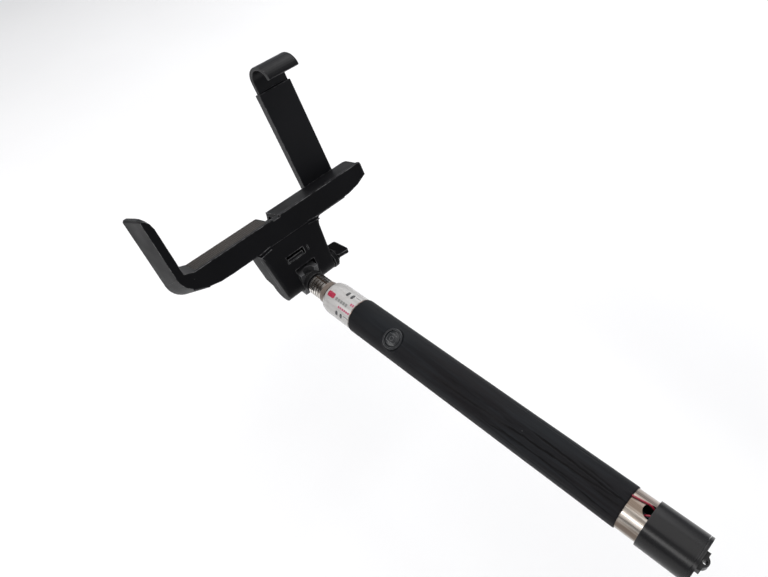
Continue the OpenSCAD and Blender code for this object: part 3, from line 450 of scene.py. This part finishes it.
AROUND = 224               # columns of the grip's mesh
LENGTHWISE = 300           # rows on its outside
BORE_ROWS = 24             # rows on its inside
CREASE_DEPTH = 0.42        # mm, of the deepest crease
CREASE_WIDTH = 2.1         # degrees from its middle to where it is a third as deep
CREASE_END = -80.5         # y where the longest creases stop
RIDGE_SHARE = 0.22         # height of the ridges beside a crease, against its depth
WIRE_ANGLE = -5.8          # where the wire comes out from under the grip's tail
WIRE_LIFT = 0.5            # mm that the rubber rises over it
WIRE_SPREAD = 22           # square degrees, of that rise
RISE_START = 7             # mm from the tail where the rise starts
RISE_LEN = 5               # mm in which it is complete
BUTTON_LIP = 0.28          # mm that the rubber rises round the button
LIP_OUT = 0.5              # mm from the bezel to the top of that rise
LIP_WIDTH = 0.9            # mm
GRIP_SLACK = 0.1           # mm left under the CAD radius for the ridges beside the creases
HEAD_ROUND = 1.5           # mm, of the rounded edge at the head
HEAD_EDGE = 0.08           # mm of rubber left at that edge
TAIL_ROUND = 0.35          # mm, length of the rounding at the tail
TAIL_TURN = 0.16           # mm that it turns in
TAIL_WAVE = 0.18           # mm that the tail's edge wanders
LEAST_WALL = 0.06          # mm of rubber left under the deepest crease


def crease_paths():
    """Creases as (start y, end y, start angle, end angle, depth), mm and degrees towards -X."""
    paths = [
        (-36, -81, 9, 19, 1.0), (-22, -76, 37, 22, 0.8), (-20, -61, 54, 51, 0.55),
        (-11, -37, 61, 58, 0.45), (-48, -80, 56, 65, 0.5), (22, -25, 46, 37, 0.35),
        (-58, -80, 3, 12, 0.5), (-66, -81, 36, 33, 0.4),
    ]
    draw = random.Random(11)
    # Fine ones between them
    for _ in range(16):
        start = draw.uniform(-55, 62)
        angle = draw.uniform(8, 78)
        end = max(CREASE_END, start - draw.uniform(18, 50))
        paths.append((start, end, angle, angle + draw.uniform(-7, 7), draw.uniform(0.1, 0.28)))
    # Others all round the far side
    for angle in range(95, 345, 21):
        start = draw.uniform(-35, 50)
        end = max(CREASE_END, start - draw.uniform(22, 60))
        turn = draw.uniform(-9, 9)
        paths.append((start, end, angle, angle + turn, draw.uniform(0.15, 0.5)))
    return paths


PATHS = crease_paths()


def wobble(y, pace, across, level):
    """Smooth noise along the grip, from -1 to 1."""
    return noise.noise(Vector((y * pace, across, level)))


def turn_between(angle, middle):
    """Degrees from one angle to another, from -180 to 180."""
    return (angle - middle + 180) % 360 - 180


def crease_at(y, angle, path, serial):
    """How deep one crease cuts at a place, and how high it lifts the rubber beside it, in mm."""
    start, end, angle_start, angle_end, depth = path
    if not end - 2 < y < start + 2:
        return 0.0
    share = (start - y) / (start - end)
    fade = min(1, max(0, (share + 0.04) * 6), max(0, (1.06 - share) * 5))
    wander = 3.2 * wobble(y, 0.09, serial * 7.1, 0.4)
    wander += 1.1 * wobble(y, 0.35, serial * 3.7, 2.2)
    away = turn_between(angle, angle_start + (angle_end - angle_start) * share + wander)
    width = CREASE_WIDTH + 0.9 * wobble(y, 0.2, serial * 5.3, 1.3)
    cut = math.exp(-(away / width) ** 2)
    ridge = math.exp(-((abs(away) - 2.6 * width) / (1.5 * width)) ** 2)
    uneven = 0.75 + 0.5 * wobble(y, 0.25, serial * 2.9, 3.1)
    return depth * fade * uneven * (cut - RIDGE_SHARE * ridge) * CREASE_DEPTH


def lift_at(y, angle, tail):
    """How far the rubber rises over the wire near its tail edge, in mm."""
    near_tail = min(1, max(0, (tail + RISE_START - y) / RISE_LEN))
    return WIRE_LIFT * near_tail ** 2 * math.exp(-turn_between(angle, WIRE_ANGLE) ** 2 / WIRE_SPREAD)


BEZEL_LOW, BEZEL_HIGH = frame_mm("button_bezel")
BEZEL_R = (BEZEL_HIGH.y - BEZEL_LOW.y) / 2
BUTTON_PLACE = (BEZEL_LOW + BEZEL_HIGH) / 2
BUTTON_ANGLE = math.degrees(math.atan2(-BUTTON_PLACE.x, BUTTON_PLACE.z))


def lip_at(y, angle, radius):
    """How far the rubber rises round the button, in mm."""
    turn = math.radians(angle - BUTTON_ANGLE)
    if math.cos(turn) < 0 or abs(y - BUTTON_PLACE.y) > 3 * BEZEL_R:
        return 0.0
    away = math.hypot(radius * math.sin(turn), y - BUTTON_PLACE.y)
    return BUTTON_LIP * math.exp(-((away - BEZEL_R - LIP_OUT) / LIP_WIDTH) ** 2)


def grip_profile(angle, radius, bore, tail, head):
    """One column of the grip's closed section, as (y and radius in mm, depth of crease)."""
    spot = Vector((math.cos(math.radians(angle)), math.sin(math.radians(angle)), 0))
    edge = tail + TAIL_WAVE + TAIL_WAVE * noise.noise(spot * 3.1)
    points = []
    for row in range(LENGTHWISE + 1):
        y = edge + (head - edge) * row / LENGTHWISE
        sag = 0.05 * noise.noise(Vector((spot.x * 0.8, spot.y * 0.8, y * 0.03)))
        r = radius - GRIP_SLACK - abs(sag) + lift_at(y, angle, tail) + lip_at(y, angle, radius)
        fold = sum(crease_at(y, angle, path, serial) for serial, path in enumerate(PATHS))
        r = max(bore + LEAST_WALL, r - fold)
        from_head = max(0, 1 - (head - y) / HEAD_ROUND)
        r -= (radius - GRIP_SLACK - bore - HEAD_EDGE) * (1 - math.sqrt(max(0, 1 - from_head ** 2)))
        from_tail = max(0, 1 - (y - edge) / TAIL_ROUND)
        r -= TAIL_TURN * from_tail ** 2
        points.append((y, r, fold / CREASE_DEPTH))
    for row in range(BORE_ROWS + 1):
        y = head - (head - edge) * row / BORE_ROWS
        points.append((y, bore + lift_at(y, angle, tail), 0.0))
    return points


def mesh_piece(name, mesh, body, material, smooth=True):
    """Links a finished mesh as a piece that rides on a body."""
    if smooth:
        for face in mesh.polygons:
            face.use_smooth = True
    mesh.materials.append(material)
    piece = bpy.data.objects.new(name, mesh)
    bpy.context.collection.objects.link(piece)
    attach(piece, body)
    return piece


def place_round(y, r, angle):
    """A point in metres at y and r mm, at an angle in degrees from the top towards -X."""
    turn = math.radians(angle)
    return Vector((-r * math.sin(turn), y, r * math.cos(turn))) * MM


def cutting_round(center, axis, radius, length):
    """A plain round tool that only cuts a hole and is thrown away afterwards."""
    tool = bmesh.new()
    turn = Vector((0, 0, 1)).rotation_difference(axis).to_matrix().to_4x4()
    turn.translation = center
    bmesh.ops.create_cone(tool, cap_ends=True, segments=96, radius1=radius, radius2=radius,
                          depth=length, matrix=turn)
    mesh = bpy.data.meshes.new("tool")
    tool.to_mesh(mesh)
    tool.free()
    cutter = bpy.data.objects.new("tool", mesh)
    bpy.context.collection.objects.link(cutter)
    return cutter


def add_grip():
    """The creased rubber sleeve, with a hole for the button's bezel."""
    low, high = frame_mm("grip_sleeve")
    radius = (high.x - low.x) / 2
    bore = frame_mm("wrap_label")[1].x + 0.02
    sheet = bmesh.new()
    layer = sheet.verts.layers.float.new(CREASE_LAYER)
    columns = []
    for step in range(AROUND):
        angle = 360 * step / AROUND
        column = []
        for y, r, fold in grip_profile(angle, radius, bore, low.y, high.y):
            column.append(sheet.verts.new(place_round(y, r, angle)))
            column[-1][layer] = max(0.0, fold)
        columns.append(column)
    count = len(columns[0])
    for step, column in enumerate(columns):
        beside = columns[(step + 1) % AROUND]
        for row in range(count):
            after = (row + 1) % count
            sheet.faces.new((column[row], column[after], beside[after], beside[row]))
    bmesh.ops.recalc_face_normals(sheet, faces=sheet.faces)
    mesh = bpy.data.meshes.new("rubber_grip")
    sheet.to_mesh(mesh)
    sheet.free()
    grip = mesh_piece("rubber_grip", mesh, "handle", LOOKS["grip_rubber"])
    outward = Vector((BUTTON_PLACE.x, 0, BUTTON_PLACE.z)).normalized()
    cutter = cutting_round(BUTTON_PLACE * MM, outward, (BEZEL_R + 0.1) * MM, 20 * MM)
    cut = grip.modifiers.new("button_hole", "BOOLEAN")
    cut.operation = "DIFFERENCE"
    cut.solver = "EXACT"
    cut.object = cutter
    apply_modifiers(grip)
    bpy.data.objects.remove(cutter)
    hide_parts("grip_sleeve")


def apply_modifiers(piece):
    """Keeps what the modifiers make of a piece, and drops them."""
    done = piece.evaluated_get(bpy.context.evaluated_depsgraph_get())
    mesh = bpy.data.meshes.new_from_object(done)
    piece.modifiers.clear()
    piece.data = mesh


# ---- Raised outline on the button ----------------------------------------------------------

OUTLINE_THICK = 0.27       # mm, radius of the raised line
BUTTON_CROWN = 1.1         # mm that the button's middle stands over its rim
BODY_HALF, BODY_TALL, BODY_CORNER = 2.9, 2.1, 0.7      # mm: half width, half height, corner
LENS_R = 1.1               # mm
HUMP_AT, HUMP_HALF, HUMP_TALL = 0.4, 0.9, 0.45         # mm, of the hump on the body


def arc(center, radius, start, turn, steps):
    """Points on an arc of an ellipse, from a start angle through a turn, in degrees."""
    angles = [math.radians(start + turn * k / steps) for k in range(steps + 1)]
    return [(center[0] + radius[0] * math.cos(a), center[1] + radius[1] * math.sin(a)) for a in angles]


def add_button_outline():
    """A plain camera outline, raised on the button's crown."""
    low, high = frame_mm("shutter_button")
    button = (low + high) / 2
    angle = math.atan2(-button.x, button.z)
    outward = Vector((-math.sin(angle), 0, math.cos(angle)))
    sideways = Vector((math.cos(angle), 0, math.sin(angle)))
    along = Vector((0, 1, 0))
    radius = (high.y - low.y) / 2
    top = max(v.co.dot(outward) for v in frame["nodes"]["shutter_button"].data.vertices) / MM
    data = bpy.data.curves.new("button_outline", "CURVE")
    data.dimensions = "3D"
    data.bevel_depth = OUTLINE_THICK * MM
    data.bevel_resolution = 3
    body = []
    for turn, sx, sy in ((0, 1, 1), (90, -1, 1), (180, -1, -1), (270, 1, -1)):
        center = (sx * (BODY_HALF - BODY_CORNER), sy * (BODY_TALL - BODY_CORNER))
        body += arc(center, (BODY_CORNER, BODY_CORNER), turn, 90, 4)
    ring = arc((0, 0), (LENS_R, LENS_R), 0, 360, 24)[:-1]
    hump = arc((HUMP_AT, BODY_TALL), (HUMP_HALF, HUMP_TALL), 0, 180, 10)
    for outline, closed in ((body, True), (ring, True), (hump, False)):
        spline = data.splines.new("POLY")
        spline.points.add(len(outline) - 1)
        spline.use_cyclic_u = closed
        for point, (a, b) in zip(spline.points, outline):
            drop = BUTTON_CROWN * (1 - math.sqrt(max(0, 1 - (a * a + b * b) / radius ** 2)))
            spot = along * (button.y + a) + sideways * b + outward * (top - drop)
            point.co = (*(spot * MM), 1)
    data.materials.append(BUTTON_LOOK)
    piece = bpy.data.objects.new("button_outline", data)
    bpy.context.collection.objects.link(piece)
    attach(piece, "button")


# ---- Wires -------------------------------------------------------------------------------

WIRE_RADIUS = 0.4          # mm
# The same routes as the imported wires, in mm
LONG_WIRE = [
    (-1.5, 44, 8), (-1.5, 42, 8), (-1.2, 40, 8.2), (-0.5, 37, 8.8), (0.3, 34, 9.4),
    (0.8, 31, 9.5), (0.8, 10, 9.5), (0.8, -20, 9.5), (0.8, -50, 9.5), (0.8, -75, 9.5),
    (0.9, -78.5, 9.6), (1, -80.5, 10), (1.2, -82.5, 10.1), (1.6, -84.5, 10),
    (2, -86.5, 9.9), (2.3, -88, 9.7), (2.5, -89.4, 9), (2.6, -90.4, 7.9), (3, -91.4, 7.1),
    (3.7, -92.4, 6.9),
]
SHORT_WIRE = [
    (-3, -87, 5.2), (-2.6, -87.8, 6.3), (-2.1, -88.7, 7.6), (-1.6, -89.7, 8.5),
    (-1.2, -90.8, 8.7), (-0.6, -92, 8), (0.6, -93.6, 7.2), (2, -95, 6.9), (3.7, -96, 6.9),
]


def add_wires():
    """The two red wires of the button and the cell."""
    data = bpy.data.curves.new("button_and_cell_wires", "CURVE")
    data.dimensions = "3D"
    data.bevel_depth = WIRE_RADIUS * MM
    data.bevel_resolution = 4
    data.resolution_u = 6
    data.use_fill_caps = True
    for route in (LONG_WIRE, SHORT_WIRE):
        spline = data.splines.new("BEZIER")
        spline.bezier_points.add(len(route) - 1)
        for point, place in zip(spline.bezier_points, route):
            point.co = Vector(place) * MM
            point.handle_left_type = point.handle_right_type = "AUTO"
    data.materials.append(LOOKS["wire_red"])
    wires = bpy.data.objects.new("button_and_cell_wires", data)
    bpy.context.collection.objects.link(wires)
    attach(wires, "handle")
    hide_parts("signal_wires")


# ---- Print on the label ------------------------------------------------------------------

SHOULDER_LEN = 6.5         # mm, of the tube's rounded shoulder
SHOULDER_START = frame_mm("handle_tube")[1].y - SHOULDER_LEN
LABEL_R = frame_mm("wrap_label")[1].x
NECK_R = frame_mm("neck_bush")[1].x


def label_radius(y):
    """Outside radius of the label film at y, in mm: round the tube, then over its shoulder."""
    share = min(1, max(0, (y - SHOULDER_START) / SHOULDER_LEN))
    return NECK_R + (LABEL_R - NECK_R) * math.sqrt(1 - share ** 2)


MARK_ROWS, MARK_COLUMNS = 14, 8
MARK_LIFT = 0.012          # mm between the film and the print
MARK_THICK = 0.02          # mm


def add_mark(name, y0, y1, angle0, angle1, material, round_ends=0.5):
    """A thin printed patch on the label, with rounded ends, between two y and two angles."""
    half = (angle1 - angle0) / 2
    middle = (angle0 + angle1) / 2
    reach = round_ends * half * math.pi / 180 * label_radius(y0)
    patch = bmesh.new()
    top, under = [], []
    for row in range(MARK_ROWS + 1):
        y = y0 + (y1 - y0) * row / MARK_ROWS
        from_end = min(y - y0, y1 - y)
        inset = 1 if from_end >= reach else math.sqrt(max(0.0, 1 - (1 - from_end / reach) ** 2))
        width = half * (1 - round_ends + round_ends * inset)
        angles = [middle + width * (2 * k / MARK_COLUMNS - 1) for k in range(MARK_COLUMNS + 1)]
        r = label_radius(y) + MARK_LIFT
        top.append([patch.verts.new(place_round(y, r + MARK_THICK, a)) for a in angles])
        under.append([patch.verts.new(place_round(y, r, a)) for a in angles])
    for row in range(MARK_ROWS):
        for k in range(MARK_COLUMNS):
            patch.faces.new((top[row][k], top[row][k + 1], top[row + 1][k + 1], top[row + 1][k]))
            patch.faces.new((under[row][k], under[row + 1][k], under[row + 1][k + 1], under[row][k + 1]))
        for k in (0, MARK_COLUMNS):
            patch.faces.new((top[row][k], top[row + 1][k], under[row + 1][k], under[row][k]))
    for row in (0, MARK_ROWS):
        for k in range(MARK_COLUMNS):
            patch.faces.new((top[row][k], top[row][k + 1], under[row][k + 1], under[row][k]))
    bmesh.ops.recalc_face_normals(patch, faces=patch.faces)
    mesh = bpy.data.meshes.new(name)
    patch.to_mesh(mesh)
    patch.free()
    mesh_piece(name, mesh, "handle", material, smooth=False)


def add_print():
    """Plain bars where the label's print is. They say nothing and stand for no mark."""
    add_mark("print_red_bar", 96.9, 102.6, 17, 36, RED_INK, round_ends=0.55)
    # Name, ink, start and end y, length of a block, space after it, and the two angles
    rows = [
        ("grey", GREY_INK, 86.4, 96.0, 1.5, 0.45, 23.5, 34),
        ("pink_short", PINK_INK, 82.6, 85.6, 1.1, 0.35, 13, 22),
        ("pink_long", PINK_INK, 82.6, 93.0, 1.2, 0.35, 44, 51),
    ]
    for name, material, start, end, block, space, angle0, angle1 in rows:
        y = start
        serial = 0
        while y + block <= end:
            serial += 1
            add_mark(f"print_{name}_{serial}", y, y + block, angle0, angle1, material, round_ends=0.3)
            y += block + space
    for name, angle0, angle1 in (("upper", -19, 1), ("lower", 63, 81)):
        middle = (angle0 + angle1) / 2
        add_mark(f"print_dark_{name}_1", 90.6, 92.4, angle0, angle1, DARK_INK)
        add_mark(f"print_dark_{name}_2", 87, 88.8, angle0, angle1, DARK_INK)
        add_mark(f"print_line_{name}", 82.6, 86.2, middle - 7, middle - 5, DARK_INK, round_ends=0.1)


# ---- Everything --------------------------------------------------------------------------

for part in frame["record"]["subparts"]:
    solid = frame["nodes"][part["node"]]
    solid.data.materials.clear()
    solid.data.materials.append(LOOKS[part["material_slot"]])
    if part["node"].startswith("tip_ring"):
        solid.data.materials[0] = RING_LOOK
    if part["node"] in ("shutter_button", "button_bezel"):
        solid.data.materials[0] = BUTTON_LOOK

for node, width in SOFT_EDGES.items():
    soften(node, width)

add_camera()
add_studio()
add_floor()
add_grip()
add_button_outline()
add_wires()
add_print()
